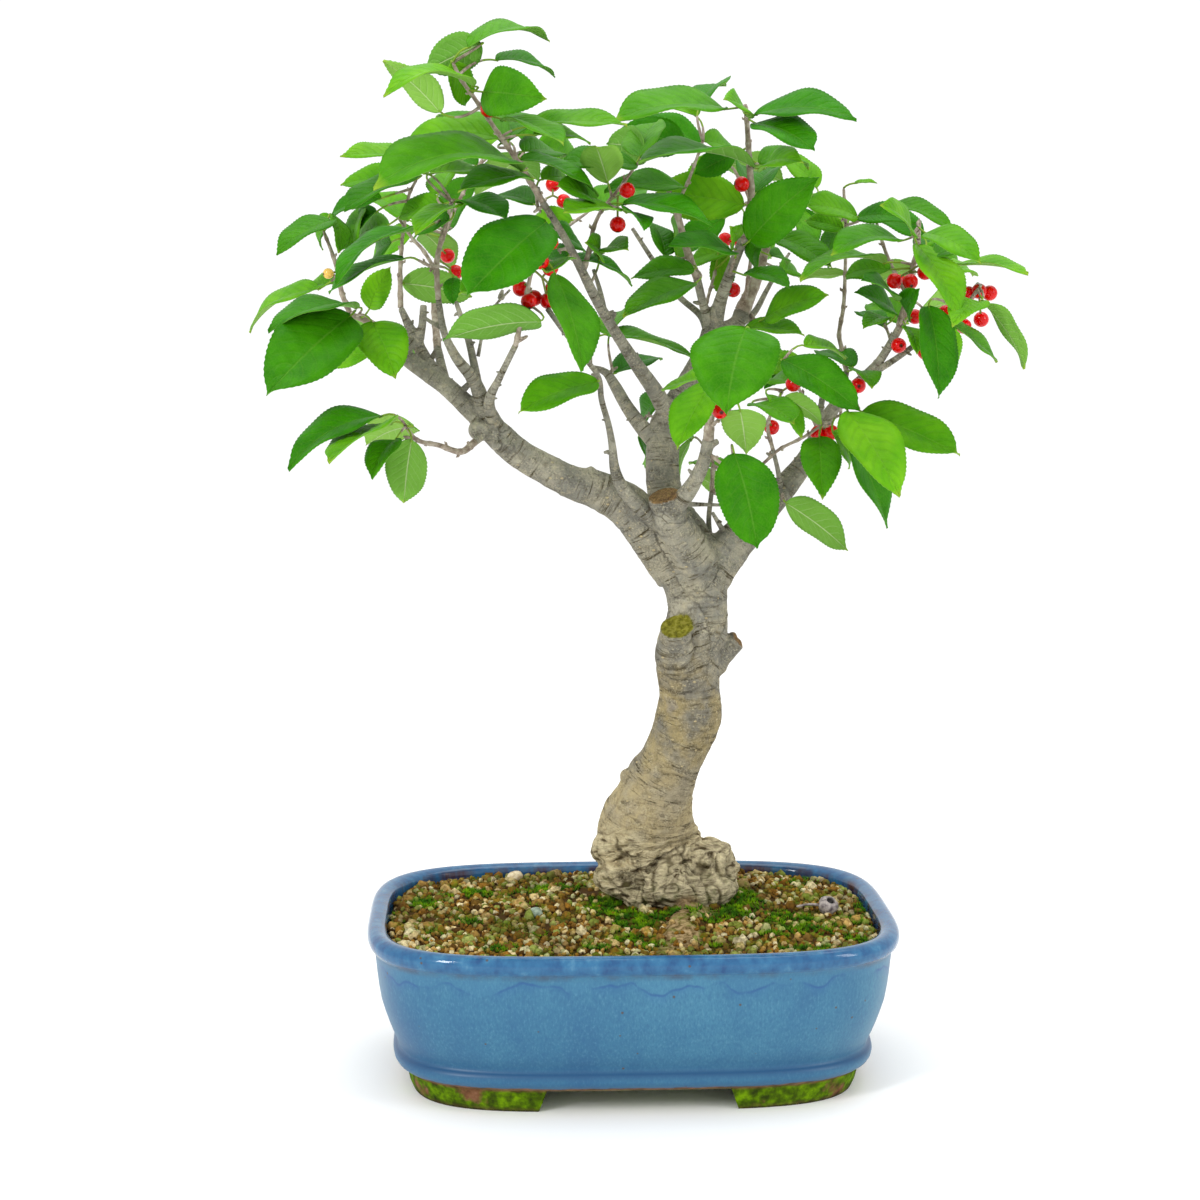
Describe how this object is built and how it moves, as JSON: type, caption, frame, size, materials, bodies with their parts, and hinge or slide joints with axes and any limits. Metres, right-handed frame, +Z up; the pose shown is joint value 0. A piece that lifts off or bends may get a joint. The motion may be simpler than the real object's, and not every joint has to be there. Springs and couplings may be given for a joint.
{
  "type": "potted winterberry bonsai",
  "caption": "Small deciduous bonsai with a swirled, ringed trunk, serrated leaves and red berries, standing in soil in a low glazed oval pot on feet.",
  "frame": {"origin": "under the middle of the pot, on the surface that the feet stand on", "axes": "+Z up along the tree, X along the pot's length, -Y towards the front that is shown"},
  "size_m": [0.2879, 0.2146, 0.3898],
  "materials": {
    "glazed_pot": "streaked blue glaze over brown clay",
    "soil": "rough granules",
    "bark": "fine ringed bark",
    "dry_fruit": "wrinkled skin",
    "screen": "moulded",
    "leaf": "satin leaf skin",
    "berry": "smooth glossy skin"
  },
  "bodies": {
    "root": {"pot": "glazed_pot", "soil": "soil", "trunk_and_branches": "bark", "fallen_dry_fruit": "dry_fruit", "drain_screen_1": "screen", "drain_screen_2": "screen", "leafy_spray_1": "leaf", "leafy_spray_2": "leaf", "leafy_spray_3": "leaf", "leafy_spray_4": "leaf", "leafy_spray_5": "leaf", "leafy_spray_6": "leaf", "leafy_spray_7": "leaf", "leafy_spray_8": "leaf", "leafy_spray_9": "leaf", "leafy_spray_10": "leaf", "leafy_spray_11": "leaf", "leafy_spray_12": "leaf", "leafy_spray_13": "leaf", "leafy_spray_14": "leaf", "leafy_spray_15": "leaf", "leafy_spray_16": "leaf", "leafy_spray_17": "leaf", "leafy_spray_18": "leaf", "leafy_spray_19": "leaf", "leafy_spray_20": "leaf", "leafy_spray_21": "leaf", "leafy_spray_22": "leaf", "leafy_spray_23": "leaf", "leafy_spray_24": "leaf", "leafy_spray_25": "leaf", "leafy_spray_26": "leaf", "leafy_spray_27": "leaf", "leafy_spray_28": "leaf", "leafy_spray_29": "leaf", "leafy_spray_30": "leaf", "leafy_spray_31": "leaf", "leafy_spray_32": "leaf", "leafy_spray_33": "leaf", "leafy_spray_34": "leaf", "leafy_spray_35": "leaf", "leafy_spray_36": "leaf", "fruit_1": "berry", "fruit_2": "berry", "fruit_3": "berry", "fruit_4": "berry", "fruit_5": "berry", "fruit_6": "berry", "fruit_7": "berry", "fruit_8": "berry", "fruit_9": "berry", "fruit_10": "berry", "fruit_11": "berry", "fruit_12": "berry", "fruit_13": "berry", "fruit_14": "berry", "fruit_15": "berry", "fruit_16": "berry", "fruit_17": "berry", "fruit_18": "berry"}
  },
  "joints": []
}
